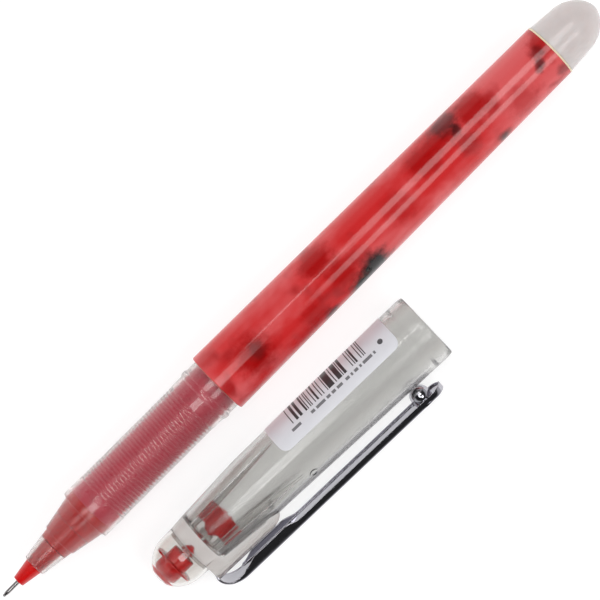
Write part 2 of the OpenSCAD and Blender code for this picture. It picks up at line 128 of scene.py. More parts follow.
def finish_mesh(name, mesh):
    bmesh.ops.recalc_face_normals(mesh, faces=mesh.faces)
    data = bpy.data.meshes.new(name)
    mesh.to_mesh(data)
    mesh.free()
    piece = bpy.data.objects.new(name, data)
    bpy.context.scene.collection.objects.link(piece)
    return piece


def rounded(points, steps=4):
    """A closed outline of (a, b, radius) with an arc at each corner that has a radius."""
    nearly_straight, share_of_side = math.radians(88), 0.49
    out = []
    count = len(points)
    for i, (a, b, radius) in enumerate(points):
        here = Vector((a, b))
        before = Vector(points[i - 1][:2]) - here
        after = Vector(points[(i + 1) % count][:2]) - here
        if radius <= 0 or before.length < 1e-9 or after.length < 1e-9:
            out.append((a, b))
            continue
        half = before.angle(after) / 2
        if half > nearly_straight:
            out.append((a, b))
            continue
        longest = min(before.length * share_of_side, after.length * share_of_side)
        reach = min(radius / math.tan(half), longest)
        start, end = here + before.normalized() * reach, here + after.normalized() * reach
        middle = here + (before.normalized() + after.normalized()).normalized() * reach / math.cos(half)
        r = (start - middle).length
        for k in range(steps + 1):
            spoke = (start - middle).lerp(end - middle, k / steps).normalized() * r
            out.append(tuple(middle + spoke))
    return out


def lathe(name, outline, steps=128):
    """Revolves a closed outline of (distance along X, radius) about X.

    Points on the axis become poles.
    """
    mesh = bmesh.new()
    rings = []
    for x, r in outline:
        if r < 1e-6:
            rings.append([mesh.verts.new((x, 0, 0))])
            continue
        angles = [2 * math.pi * k / steps for k in range(steps)]
        rings.append([mesh.verts.new((x, r * math.cos(a), r * math.sin(a))) for a in angles])
    pairs = list(zip(rings, rings[1:]))
    if len(rings[0]) > 1 or len(rings[-1]) > 1:
        pairs.append((rings[-1], rings[0]))
    for one, two in pairs:
        if len(one) == 1 and len(two) == 1:
            continue
        for k in range(steps):
            n = (k + 1) % steps
            corners = [one[k % len(one)], one[n % len(one)], two[n % len(two)], two[k % len(two)]]
            mesh.faces.new(list(dict.fromkeys(corners)))
    return finish_mesh(name, mesh)


def loft(name, sections):
    """Joins rings of points, all with the same count, and closes both ends."""
    mesh = bmesh.new()
    rings = [[mesh.verts.new(p) for p in ring] for ring in sections]
    for one, two in zip(rings, rings[1:]):
        for k in range(len(one)):
            n = (k + 1) % len(one)
            mesh.faces.new((one[k], one[n], two[n], two[k]))
    mesh.faces.new(rings[0])
    mesh.faces.new(rings[-1])
    return finish_mesh(name, mesh)


def slab(name, outline, low, high, place):
    """An outline in X and Y, extruded in Z from low to high."""
    return loft(name, [[place @ Vector((x, y, z)) for x, y in outline] for z in (low, high)])


def combine(base, tools, operation):
    """Boolean of base with each tool in turn; the tools are used up."""
    for tool in tools:
        modifier = base.modifiers.new(operation.lower(), "BOOLEAN")
        modifier.operation = operation
        modifier.object = tool
        modifier.solver = "EXACT"
        bpy.context.view_layer.update()
        evaluated = base.evaluated_get(bpy.context.evaluated_depsgraph_get())
        data = bpy.data.meshes.new_from_object(evaluated)
        base.modifiers.clear()
        base.data = data
        bpy.data.objects.remove(tool)
    return base


def bevel(piece, width):
    """Rounds the edges of a piece that turn by more than 30 degrees."""
    modifier = piece.modifiers.new("bevel", "BEVEL")
    modifier.width = width
    modifier.segments = 2
    modifier.limit_method = "ANGLE"
    modifier.angle_limit = math.radians(30)
    modifier.use_clamp_overlap = True
    bpy.context.view_layer.update()
    data = bpy.data.meshes.new_from_object(piece.evaluated_get(bpy.context.evaluated_depsgraph_get()))
    piece.modifiers.clear()
    piece.data = data
    return piece


def set_down(piece, place, look, sharp):
    """Moves a mesh to the row frame and shades it.

    Its own millimetres are kept as the attribute "local" for the materials.
    """
    data = piece.data
    local = data.attributes.new("local", "FLOAT_VECTOR", "POINT")
    local.data.foreach_set("vector", [c for v in data.vertices for c in v.co])
    data.transform(place)
    data.shade_smooth()
    data.set_sharp_from_angle(angle=math.radians(sharp))
    data.materials.clear()
    data.materials.append(look)
    return piece


def placed(piece, place, look, body, nodes, sharp=40):
    """Sets a piece down, lets it ride on its body and stand for its CAD nodes."""
    set_down(piece, place, look, sharp)
    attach(piece, body)
    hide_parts(*nodes)


# ---- Materials ----


class Look:
    """A node material. add() makes a node and returns one of its outputs."""

    def __init__(self, name):
        self.material = bpy.data.materials.new(name)
        self.material.use_nodes = True
        self.tree = self.material.node_tree
        self.tree.nodes.clear()

    def add(self, kind, inputs=None, out=0, **settings):
        node = self.tree.nodes.new("ShaderNode" + kind)
        for key, value in settings.items():
            setattr(node, key, value)
        for key, value in (inputs or {}).items():
            if isinstance(value, bpy.types.NodeSocket):
                self.tree.links.new(value, node.inputs[key])
            else:
                node.inputs[key].default_value = value
        return node.outputs[out] if len(node.outputs) else node

    def local(self):
        """Millimetres in the piece's own frame."""
        return self.add("Attribute", attribute_name="local", out=1)

    def row(self):
        """Millimetres in the row frame, for CAD nodes."""
        place = self.add("TexCoord", out=3)
        return self.add("VectorMath", {0: place, 3: 1 / MM}, operation="SCALE")

    def noise(self, at, scale, detail=2.0, roughness=0.5, distortion=0.0, stretch=None):
        if stretch:
            at = self.add("VectorMath", {0: at, 1: stretch}, operation="MULTIPLY")
        values = {
            "Vector": at,
            "Scale": scale,
            "Detail": detail,
            "Roughness": roughness,
            "Distortion": distortion,
        }
        return self.add("TexNoise", values)

    def fit(self, value, low, high, to_low=0.0, to_high=1.0, smooth=False):
        kind = "SMOOTHSTEP" if smooth else "LINEAR"
        values = {
            "Value": value,
            "From Min": low,
            "From Max": high,
            "To Min": to_low,
            "To Max": to_high,
        }
        return self.add("MapRange", values, interpolation_type=kind)

    def math(self, operation, a, b=0.0):
        return self.add("Math", {0: a, 1: b}, operation=operation)

    def mix(self, share, a, b):
        return self.add("Mix", {0: share, 6: a, 7: b}, out=2, data_type="RGBA")

    def bump(self, height, distance, strength=1.0):
        """A bump with its depth in millimetres."""
        values = {"Height": height, "Distance": distance * MM, "Strength": strength}
        return self.add("Bump", values)

    def surface(self, **inputs):
        named = {key.replace("_", " "): value for key, value in inputs.items()}
        shader = self.add("BsdfPrincipled", named)
        self.add("OutputMaterial", {"Surface": shader})
        return self.material


def rgb(red, green, blue):
    """A colour from its 0 to 255 values on screen."""

    def linear(c):
        c = c / 255
        return c / 12.92 if c <= 0.04045 else ((c + 0.055) / 1.055) ** 2.4

    return (linear(red), linear(green), linear(blue), 1.0)


# The darker clouds of the print: distance along the pen, sideways towards the cap, radius, darkness
PRINT_CLOUDS = [
    (52.7, -4.3, 2.4, 0.55),
    (59.4, 1.2, 4.4, 1.0),
    (71.0, 3.7, 3.2, 0.75),
    (77.2, -3.1, 3.9, 0.95),
    (79.4, 2.0, 3.6, 0.85),
    (83.0, 2.0, 2.6, 0.5),
    (93.6, 0.7, 3.6, 0.5),
    (101.6, -2.4, 3.6, 0.9),
    (106.0, -3.0, 3.4, 0.8),
    (113.6, -2.8, 4.2, 0.9),
    (121.0, 2.8, 3.6, 0.5),
    (129.6, -2.0, 3.0, 0.85),
]
# The black smoke of the print, in the same terms
PRINT_SMOKE = [
    (59.9, 0.8, 2.0, 0.5),
    (73.4, 5.3, 1.9, 0.8),
    (81.0, 5.4, 3.6, 1.0),
    (84.2, 5.0, 4.0, 1.0),
    (109.6, -2.0, 1.2, 0.8),
    (108.6, -4.2, 3.4, 0.7),
    (109.4, 1.4, 2.6, 0.35),
    (114.9, 4.8, 1.7, 0.8),
    (127.3, 0.3, 1.1, 0.75),
    (126.4, 0.9, 0.9, 0.6),
    (128.2, -1.5, 1.5, 0.5),
    (129.5, 3.8, 1.6, 0.5),
]


def print_look():
    """The marbling: clouds and veins in red, with the placed clouds and smoke, and smoke underneath."""
    look = Look("marbled_print")
    at = look.local()
    clouds = look.noise(at, 0.10, 3.0, 0.5, 0.3, stretch=(0.7, 1.0, 1.0))
    veins = look.noise(at, 0.16, 2.0, 0.5, 0.2)
    grain = look.noise(at, 14.0, 2.0)
    edge = look.noise(at, 0.55, 3.0, 0.6)
    colour = look.mix(look.fit(clouds, 0.37, 0.6, smooth=True), rgb(210, 26, 28), rgb(224, 88, 90))
    colour = look.mix(look.fit(veins, 0.54, 0.74, smooth=True), colour, rgb(176, 14, 18))
    colour = look.mix(look.fit(grain, 0.3, 0.8, 0.0, 0.05), colour, rgb(250, 200, 200))
    for blotches, dark in ((PRINT_CLOUDS, rgb(172, 2, 3)), (PRINT_SMOKE, rgb(10, 6, 8))):
        for x, side, radius, weight in blotches:
            height = math.sqrt(max(barrel_r(x) ** 2 - side**2, 0.0))
            far = look.add("VectorMath", {0: at, 1: (x, -side, height)}, out=1, operation="DISTANCE")
            fray = look.math("MULTIPLY", look.math("SUBTRACT", edge, 0.5), radius * 0.9)
            far = look.math("ADD", far, fray)
            share = look.fit(far, radius * 1.2, radius * 0.35, 0.0, weight, smooth=True)
            colour = look.mix(share, colour, dark)
    under = look.add("SeparateXYZ", {0: at}, out=2)
    smoke = look.fit(look.noise(at, 0.13, 2.0), 0.6, 0.7, 0.0, 0.9, smooth=True)
    smoke = look.math("MULTIPLY", smoke, look.fit(under, -0.5, -3.0, smooth=True))
    colour = look.mix(smoke, colour, rgb(30, 8, 10))
    smear = look.noise(at, 3.0, 3.0, stretch=(0.12, 1.0, 1.0))
    rough = look.fit(smear, 0.3, 0.7, 0.42, 0.52)
    normal = look.bump(look.noise(at, 1.2, 2.0, stretch=(0.3, 1, 1)), 0.01, 0.4)
    return look.surface(
        Base_Color=colour, Roughness=rough, Normal=normal, Specular_IOR_Level=0.05,
        Coat_Weight=0.75, Coat_Roughness=0.12,
    )


def cream_look():
    look = Look("cream_plastic")
    at = look.row()
    tint = look.mix(look.noise(at, 0.8, 2.0), rgb(232, 214, 178), rgb(240, 226, 196))
    return look.surface(Base_Color=tint, Roughness=0.35, Normal=look.bump(look.noise(at, 6.0), 0.005))


def frosted_look():
    look = Look("frosted_plastic")
    at = look.local()
    cloud = look.noise(at, 0.6, 3.0)
    colour = look.mix(cloud, rgb(244, 236, 234), rgb(250, 244, 242))
    rough = look.fit(look.noise(at, 1.2, 2.0), 0.3, 0.7, 0.18, 0.25)
    return look.surface(
        Base_Color=colour, Roughness=rough, Transmission_Weight=0.98, IOR=1.49,
        Coat_Weight=0.4, Coat_Roughness=0.06,
    )


def milky_look():
    look = Look("milky_rubber")
    at = look.local()
    cloud = look.noise(at, 0.5, 3.0)
    colour = look.mix(cloud, rgb(208, 198, 196), rgb(220, 211, 209))
    normal = look.bump(look.noise(at, 1.6, 3.0), 0.01, 0.5)
    return look.surface(
        Base_Color=colour,
        Roughness=look.fit(look.noise(at, 1.5), 0.3, 0.7, 0.34, 0.46),
        Normal=normal,
        Subsurface_Weight=0.6,
        Subsurface_Radius=(2.0, 1.6, 1.5),
        Subsurface_Scale=MM,
        Coat_Weight=0.5,
        Coat_Roughness=0.16,
    )


def plain_look(name, shade, rough=0.22, use_row=False):
    """One colour, slightly cloudy: the plastics that aren't clear, and the ink."""
    look = Look(name)
    at = look.row() if use_row else look.local()
    tint = look.noise(at, 0.7, 3.0)
    darker = tuple(c * 0.86 for c in shade[:3]) + (1.0,)
    normal = look.bump(look.noise(at, 5.0, 3.0), 0.008, 0.5)
    return look.surface(
        Base_Color=look.mix(tint, darker, shade),
        Roughness=look.fit(look.noise(at, 2.0, 2.0), 0.3, 0.7, rough * 0.85, rough * 1.2),
        Normal=normal,
        Coat_Weight=0.3,
        Coat_Roughness=0.08,
    )


def steel_look(name, shade, rough, use_row=False):
    """Metal with fine drawn lines along X."""
    look = Look(name)
    at = look.row() if use_row else look.local()
    lines = look.noise(at, 3.0, 4.0, stretch=(0.08, 2.0, 2.0))
    return look.surface(
        Base_Color=look.mix(lines, tuple(c * 0.8 for c in shade[:3]) + (1.0,), shade),
        Metallic=1.0,
        Roughness=look.fit(lines, 0.3, 0.7, rough * 0.7, rough * 1.3),
        Normal=look.bump(lines, 0.004, 0.4),
    )


def clear_look(name, shade, rough, ior):
    """A clear plastic or gel with faint flow marks."""
    look = Look(name)
    at = look.local()
    flow = look.noise(at, 0.25, 2.0, stretch=(0.35, 1.0, 1.0))
    darker = tuple(c * 0.96 for c in shade[:3]) + (1.0,)
    normal = look.bump(flow, 0.01, 0.5)
    return look.surface(
        Base_Color=look.mix(flow, darker, shade),
        Roughness=look.fit(look.noise(at, 1.6, 3.0), 0.3, 0.7, rough * 0.7, rough * 1.4),
        Normal=normal,
        Transmission_Weight=1.0,
        IOR=ior,
    )


def smoke_look():
    """The cap's plastic, darker where it is thick: in the closed end and in the clip's housing."""
    closed_from, closed_to, housing_from, housing_to = 9.6, 11.0, 22.0, 23.5
    shell_r, housing_r = 5.7, 6.4
    look = Look("smoky_plastic")
    at = look.local()
    x = look.add("SeparateXYZ", {0: at}, out=0)
    across = look.add("VectorMath", {0: at, 1: (0.0, 1.0, 1.0)}, operation="MULTIPLY")
    radius = look.add("VectorMath", {0: across}, out=1, operation="LENGTH")
    flow = look.noise(at, 0.25, 2.0, stretch=(0.35, 1.0, 1.0))
    raised = look.fit(radius, shell_r, housing_r)
    housing = look.math("MULTIPLY", raised, look.fit(x, housing_to, housing_from))
    thick = look.math("MAXIMUM", look.fit(x, closed_to, closed_from, smooth=True), housing)
    colour = look.mix(flow, rgb(222, 221, 219), rgb(227, 227, 225))
    rough = look.fit(look.noise(at, 1.6, 3.0), 0.3, 0.7, 0.13, 0.19)
    return look.surface(
        Base_Color=look.mix(thick, colour, rgb(212, 207, 204)),
        Roughness=look.math("ADD", rough, look.math("MULTIPLY", thick, 0.08)),
        Normal=look.bump(flow, 0.01, 0.5),
        Transmission_Weight=1.0,
        IOR=1.5,
    )


def label_look():
    """A pale film with generic bars and word-length dashes beside them, from its UV in millimetres."""
    bar_pitch, dash_pitch, dash_seed = 0.18, 0.4, 40.5
    dot_at, dot_r = (24.5, 2.9, 0.0), 0.5
    look = Look("printed_label")
    place = look.add("UVMap", uv_map="print")
    along = look.add("SeparateXYZ", {0: place}, out=0)
    across = along.node.outputs[1]

    def between(value, low, high):
        above = look.math("GREATER_THAN", value, low)
        return look.math("MULTIPLY", above, look.math("LESS_THAN", value, high))

    def inside(from_along, to_along, from_across, to_across):
        here = between(along, from_along, to_along)
        return look.math("MULTIPLY", here, between(across, from_across, to_across))

    cell = look.math("FLOOR", look.math("DIVIDE", along, bar_pitch))
    bars = look.add("TexWhiteNoise", {"W": cell}, noise_dimensions="1D")
    black = look.math("MULTIPLY", look.math("GREATER_THAN", bars, 0.52), inside(3.6, 22.2, 3.1, 8.8))
    word = look.math("FLOOR", look.math("DIVIDE", along, dash_pitch))
    words = look.add("TexWhiteNoise", {"W": look.math("ADD", word, dash_seed)}, noise_dimensions="1D")
    dash = look.math("MULTIPLY", look.math("GREATER_THAN", words, 0.42), inside(3.4, 23.4, 1.9, 2.45))
    spot = look.add("CombineXYZ", {0: along, 1: across})
    away = look.add("VectorMath", {0: spot, 1: dot_at}, out=1, operation="DISTANCE")
    dash = look.math("MAXIMUM", look.math("MULTIPLY", dash, 0.85), look.math("LESS_THAN", away, dot_r))
    paper = look.mix(look.noise(look.local(), 0.6, 3.0), rgb(222, 222, 228), rgb(230, 230, 235))
    colour = look.mix(look.math("MULTIPLY", dash, 0.9), paper, rgb(34, 28, 34))
    colour = look.mix(look.math("MULTIPLY", black, 0.95), colour, rgb(20, 14, 18))
    fibre = look.noise(look.local(), 12.0, 3.0)
    return look.surface(
        Base_Color=colour,
        Roughness=0.42,
        Normal=look.bump(fibre, 0.004, 0.4),
        Coat_Weight=0.1,
    )


def chrome_look():
    look = Look("polished_chrome")
    at = look.local()
    haze = look.noise(at, 1.4, 4.0)
    lines = look.noise(at, 5.0, 3.0, stretch=(0.1, 1.0, 1.0))
    return look.surface(
        Base_Color=look.mix(haze, rgb(178, 177, 184), rgb(192, 191, 198)),
        Metallic=1.0,
        Roughness=look.fit(haze, 0.3, 0.7, 0.05, 0.11),
        Normal=look.bump(lines, 0.002, 0.1),
    )


def floor_look():
    look = Look("pale_table")
    place = look.add("TexCoord", out=3)
    soft = look.noise(place, 4.0, 3.0)
    pale = look.mix(soft, (0.34, 0.34, 0.34, 1), (0.37, 0.37, 0.37, 1))
    return look.surface(
        Base_Color=pale, Roughness=0.9, Emission_Color=(1.0, 1.0, 1.0, 1.0), Emission_Strength=0.76
    )


SMOKE = smoke_look()
CLEAR = clear_look("clear_plastic", rgb(240, 238, 235), 0.06, 1.47)
TUBE = plain_look("tube_plastic", rgb(222, 50, 78), 0.3)
FROSTED = frosted_look()
PRINT = print_look()
CREAM = cream_look()
MILKY = milky_look()
HOLDER_RED = plain_look("holder_red_plastic", rgb(218, 18, 18))
CAP_RED = plain_look("cap_red_plastic", rgb(250, 8, 6))
INK = plain_look("gel_ink", rgb(206, 26, 50), 0.12)
GEL = clear_look("follower_gel", rgb(240, 226, 180), 0.05, 1.46)
CHROME = chrome_look()
STEEL = steel_look("needle_steel", rgb(176, 172, 172), 0.22)
WIRE = steel_look("spring_wire", rgb(190, 190, 196), 0.25, use_row=True)
CARBIDE = steel_look("carbide", rgb(110, 108, 112), 0.15, use_row=True)
WHITE = plain_look("white_plastic", rgb(234, 234, 230), 0.35, use_row=True)
SILICONE = plain_look("soft_pad", rgb(228, 226, 222), 0.5, use_row=True)
LABEL = label_look()


# ---- The pen ----


def make_film():
    """The printed skin of the barrel, turned in over its front rim."""
    t, turned_in = 0.1, 0.38
    front, back = BARREL_X + 0.03, BARREL_END - 0.3
    outline = rounded(
        [
            (front, BARREL_FRONT_R - t - turned_in, 0),
            (front, BARREL_FRONT_R, 0.36),
            (back, barrel_r(back), 0.04),
            (back, barrel_r(back) - t, 0),
            (BARREL_X + 0.4, BARREL_FRONT_R - t, 0.2),
            (BARREL_X + 0.12, BARREL_FRONT_R - t - turned_in, 0),
        ],
        steps=6,
    )
    placed(lathe("barrel_film", outline, 160), PEN, PRINT, "barrel", ["barrel_print"])


def make_eraser():
    """The milky dome, with the plug that sits in the barrel."""
    plug_r, plug_len, dome_x, dome_base_r = 3.9, 6.4, PEN_LEN - 5.5, 4.65
    start = BARREL_END - plug_len
    outline = rounded(
        [
            (start, 0, 0),
            (start, plug_r - 0.5, 0.1),
            (start + 0.7, plug_r, 0.2),
            (BARREL_END, plug_r, 0),
            (BARREL_END, BARREL_REAR_R - 0.1, 0.12),
            (dome_x, dome_base_r, 0),
        ]
    )
    steps = 28
    for i in range(1, steps + 1):
        t = math.sin(math.pi / 2 * i / steps)
        r = dome_base_r * max(0.0, 1 - t**1.8) ** 0.55
        outline.append((dome_x + (PEN_LEN - dome_x) * t, r if i < steps else 0))
    placed(lathe("eraser_dome", outline), PEN, MILKY, "barrel", ["eraser"])


def make_section():
    """The frosted front section: nose, shoulder, ringed grip, snap ring and spigot around a bore.

    The bore overlaps the tube and the holder by touch, so that no film of air is seen between them.
    Behind the lip there is air around the holder.
    """
    touch, air_end, air_r = 0.03, 12.0, 2.26
    crest = GRIP_R - 0.04
    pitch = (RINGS_TO - RINGS_FROM) / RING_COUNT
    outer = [
        (LIP_X, HOLDER_R + 0.06, 0.04),
        (LIP_X, 2.1, 0.14),
        (STAGE_X, 3.0, 0.08),
        (STAGE_X + 0.1, 3.25, 0.1),
        (SHOULDER_X, 4.4, 0.05),
        (SHOULDER_X, GRIP_R, 0.16),
        (RINGS_FROM - 0.15, GRIP_R, 0.05),
    ]
    for i in range(RING_COUNT):
        x = RINGS_FROM + i * pitch
        outer += [
            (x, crest - RING_DEPTH, 0.05),
            (x + pitch * 0.28, crest - RING_DEPTH * 0.1, 0.1),
            (x + pitch * 0.72, crest - RING_DEPTH * 0.1, 0.1),
        ]
    outer += [
        (RINGS_TO, crest - RING_DEPTH, 0.05),
        (RINGS_TO + 0.2, GRIP_R, 0.08),
        (SNAP_X - 0.2, GRIP_R, 0.15),
        (SNAP_X + 0.2, SNAP_R, 0.25),
        (NECK_X - 0.15, SNAP_R, 0.25),
        (NECK_X + 0.15, NECK_R, 0.1),
        (BARREL_X - 0.02, NECK_R, 0.05),
        (BARREL_X - 0.02, SPIGOT_R, 0.05),
        (SPIGOT_END - 0.5, SPIGOT_R, 0.1),
        (SPIGOT_END, SPIGOT_R - 0.4, 0.05),
        (SPIGOT_END, TUBE_R - touch, 0.05),
        (SEAT_X - touch, TUBE_R - touch, 0),
        (SEAT_X - touch, 2.45 - touch, 0),
        (12.2, 2.04 - touch, 0),
        (air_end, air_r, 0),
        (LIP_X + 1, HOLDER_R + 0.22, 0.1),
        (LIP_X + 0.5, HOLDER_R + 0.06, 0),
    ]
    piece = lathe("grip_section", rounded(outer, steps=3))
    placed(piece, PEN, FROSTED, "section", ["front_section"], sharp=55)


def make_refill():
    """The holder, the ink tube, the needle, the ink and the follower."""
    needle_out, needle_r, nose_r = 3.6, 0.4, 1.05
    channel_r, needle_end = 0.7, 9.2
    holder = rounded(
        [
            (needle_out, needle_r, 0),
            (needle_out, nose_r, 0.1),
            (LIP_X, HOLDER_R - 0.02, 0),
            (LIP_X + 1, HOLDER_R, 0),
            (SEAT_X, 2.45, 0),
            (SEAT_X, TUBE_R, 0.08),
            (COLLAR_END, TUBE_R, 0.04),
            (COLLAR_END, TUBE_BORE_R - 0.01, 0),
            (HOLDER_END - 0.4, TUBE_BORE_R - 0.01, 0.1),
            (HOLDER_END, TUBE_BORE_R - 0.3, 0.05),
            (HOLDER_END, channel_r, 0),
            (needle_end, channel_r, 0),
            (needle_end, needle_r, 0),
        ]
    )
    placed(lathe("needle_holder", holder), PEN, HOLDER_RED, "refill", ["tip_holder"])
    tube = [
        (COLLAR_END, TUBE_BORE_R),
        (COLLAR_END, TUBE_R),
        (TUBE_END, TUBE_R),
        (TUBE_END, TUBE_BORE_R),
    ]
    placed(lathe("ink_tube", tube), PEN, TUBE, "refill", ["refill_tube"])

    face_x, ball_r, bore_r = 0.1, 0.25, 0.2
    socket_r = ball_r + 0.02
    first = math.acos((ball_r - face_x) / socket_r)
    last = math.pi - math.asin(bore_r / socket_r)
    steps = 12
    socket = []
    for i in range(steps + 1):
        a = first + (last - first) * i / steps
        socket.append((ball_r - socket_r * math.cos(a), socket_r * math.sin(a)))
    # Rounded as a closed loop, so the corner at face_x is cut back further than its radius says
    wall = rounded(
        [
            (needle_end, needle_r - 0.01, 0),
            (1.1, needle_r - 0.01, 0.6),
            (face_x, needle_r - 0.12, 0.06),
        ]
    )
    needle = socket + [(needle_end, bore_r)] + wall
    placed(lathe("steel_needle", needle, 64), PEN, STEEL, "refill", ["needle_tube"])

    ink_end, follower_len, into_wall, gap = 92.0, 5.0, 0.03, 0.02
    ink_dish, gel_dish, gel_hollow = 1.2, 1.18, 0.8
    ink_r = TUBE_BORE_R + into_wall
    ink = [
        (HOLDER_END + gap, 0),
        (HOLDER_END + gap, ink_r),
        (ink_end - ink_dish, ink_r),
        (ink_end - gap, 0),
    ]
    placed(lathe("ink_fill", ink, 64), PEN, INK, "refill", ["ink_column"])
    gel = [
        (ink_end, 0),
        (ink_end - gel_dish, ink_r),
        (ink_end + follower_len, ink_r),
        (ink_end + follower_len - gel_hollow, 0),
    ]
    placed(lathe("follower_fill", gel, 64), PEN, GEL, "refill", ["ink_follower"])


# ---- The cap ----


def clip_point(x, r, w):
    """A point of the clip's frame, in the cap's frame."""
    return CLIP_IN_CAP @ Vector((x, -r, w))


def make_boss():
    """The housing of the clip's tongue: a fairing with rounded shoulders and a rounded far end."""
    half = [(0.0, 6.95), (1.6, 6.95), (2.3, 6.86), (2.8, 6.62), (3.15, 6.25), (3.5, 5.7)]
    half += [(3.85, 5.0), (4.25, 3.4), (4.3, 2.5)]
    base_r, top_r, from_x, to_x, end_len = 2.5, 6.95, CROWN_END + 0.02, 22.8, 3.4
    end_drop, end_narrowing = 2.0, 0.22
    stations = [(from_x, 0.22), (from_x + 0.06, 0.1), (from_x + 0.2, 0.0), (to_x - end_len, 0.0)]
    sections = []
    for x, inset in stations:
        sections.append((x, top_r - inset, 1 - inset / 6))
    steps = 10
    for i in range(1, steps + 1):
        u = math.sin(math.pi / 2 * i / steps)
        fall = 1 - math.sqrt(max(0.0, 1 - u * u * 0.96))
        x = to_x - end_len + end_len * u
        sections.append((x, top_r - end_drop * fall, 1 - end_narrowing * fall))
    rings = []
    for x, top, wide in sections:
        ring = []
        scale = (top - base_r) / (top_r - base_r)
        for w, r in half + [(-w, r) for w, r in reversed(half)][:-1]:
            ring.append(clip_point(x, base_r + (r - base_r) * scale, w * wide))
        rings.append(ring)
    return loft("boss", rings)


def make_cap():
    """The smoky cap: a tapered shell with the clip's housing, long inner ribs and the snap bead."""
    outside = rounded(
        [
            (CROWN_END + 0.93, 0, 0),
            (CROWN_END + 0.93, 0.19, 0),
            (CROWN_END - 0.01, STEM_R - 0.01, 0),
            (CROWN_END - 0.7, STEM_R - 0.01, 0),
            (CROWN_END - 0.7, CROWN_R - 0.58, 0.08),
            (CROWN_END + 0.02, CROWN_R - 0.58, 0),
            (CROWN_END + 0.02, CROWN_R + 0.05, 0.12),
            (10.5, 5.05, 2.0),
            (TAPER_X, TAPER_R, 8.0),
            (CAP_RIM_X - 0.2, cap_r(CAP_RIM_X - 0.2), 0.5),
            (CAP_LEN, CAP_MOUTH_R - 0.18, 0.3),
            (CAP_LEN, CAP_BORE_R, 0),
            (CAP_LEN, 0, 0),
        ],
        steps=5,
    )
    bore = rounded(
        [
            (10.2, 0, 0),
            (10.2, 4.15, 1.2),
            (TAPER_X, 4.95, 3.0),
            (31.4, 5.18, 3.0),
            (57.4, 5.42, 0.5),
            (58.1, 5.3, 0.6),
            (58.8, 5.3, 0.6),
            (59.5, CAP_BORE_R, 0.5),
            (CAP_LEN - 0.3, CAP_BORE_R, 0.1),
            (CAP_LEN + 0.2, CAP_BORE_R + 0.28, 0),
            (CAP_LEN + 0.2, 0, 0),
        ],
        steps=4,
    )
    cap = combine(lathe("cap_shell", outside, 144), [make_boss(), make_gate_mark()], "UNION")
    slot_w, gap, slot_from, slot_to, step_x, open_r = TONGUE_W + 0.5, 0.04, 6.4, 20.2, 8.2, 8.2
    low, high = TONGUE_R - CLIP_T / 2 - gap, TONGUE_R + CLIP_T / 2 + gap
    slot = [(slot_from, low), (slot_to, low), (slot_to, high), (step_x, high), (step_x, open_r)]
    slot += [(slot_from, open_r)]
    slot = loft("slot", [[clip_point(x, r, w) for x, r in slot] for w in (-slot_w / 2, slot_w / 2)])
    cap = combine(cap, [lathe("bore", bore, 144), slot], "DIFFERENCE")
    combine(cap, make_ribs(), "UNION")
    placed(cap, CAP, SMOKE, "cap", ["cap_body"], sharp=30)


def make_gate_mark():
    """The small round mark that the mould's gate left on the cap."""
    x, lean = 31.7, math.radians(53)
    root, rim_r, rim, dish = -0.6, 0.85, 0.13, 0.02
    outline = rounded(
        [
            (root, 0, 0),
            (root, rim_r, 0),
            (rim, rim_r, 0.1),
            (rim, 0.5, 0.1),
            (dish, 0.35, 0.05),
            (dish, 0, 0),
        ]
    )
    mark = lathe("gate_mark", outline, 32)
    out = Vector((0, -math.sin(lean), math.cos(lean)))
    side = Vector((1, 0, 0))
    turn = Matrix((out, side, out.cross(side))).transposed().to_4x4()
    mark.data.transform(Matrix.Translation(Vector((x, 0, 0)) + out * cap_r(x)) @ turn)
    return mark


def make_ribs():
    """Eight long ribs inside the closed end."""
    count, thick, inner, root_x, end_x = 8, 0.4, 3.2, 9.9, 31.4
    outline = [(root_x, inner), (SEAL_END + 0.2, inner), (27.0, 4.6), (end_x, 5.3), (root_x, 4.5)]
    ribs = []
    for i in range(count):
        turn = Matrix.Rotation(2 * math.pi * i / count, 4, "X") @ Matrix.Rotation(math.pi / 2, 4, "X")
        ribs.append(slab("rib", outline, -thick / 2, thick / 2, turn))
    return ribs


def quarter_ellipse(tip_x, a, b, steps=20):
    """A quarter of an ellipse's outline, from its tip on the axis to its widest point."""
    angles = [math.pi / 2 * i / steps for i in range(steps + 1)]
    return [(tip_x + a * (1 - math.cos(t)), b * math.sin(t)) for t in angles]


def make_crown():
    """The clear end dome and the red plug inside it."""
    wall = 0.5
    inner_r = CROWN_R - wall
    outline = [(x, r, 0) for x, r in quarter_ellipse(0, CROWN_A, CROWN_R)]
    outline += [(CROWN_END - 0.02, CROWN_R + 0.03, 0.06), (CROWN_END - 0.02, inner_r, 0)]
    outline += [(x, r, 0) for x, r in reversed(quarter_ellipse(wall, CROWN_A - wall, inner_r))]
    shell = lathe("crown_shell", rounded(outline), 96)
    placed(shell, CAP, CLEAR, "cap", ["crown_dome"])
    plug_x, plug_nose, plug_r = 0.6, 0.95, 2.4
    front = [(x, r, 0) for x, r in quarter_ellipse(plug_x, plug_nose, plug_r, 12)[:-1]]
    plug = front + [
        (1.6, plug_r, 0.1),
        (3.4, plug_r, 0.05),
        (3.5, 3.8, 0.06),
        (3.8, 3.8, 0.06),
        (3.9, plug_r - 0.15, 0.05),
        (6.0, plug_r - 0.15, 0.15),
        (6.15, STEM_R, 0.05),
        (CROWN_END, STEM_R, 0.05),
        (CROWN_END + 0.95, 0.2, 0.05),
        (CROWN_END + 0.95, 0, 0),
    ]
    placed(lathe("crown_core", rounded(plug), 96), CAP, CAP_RED, "cap", ["crown_plug"])


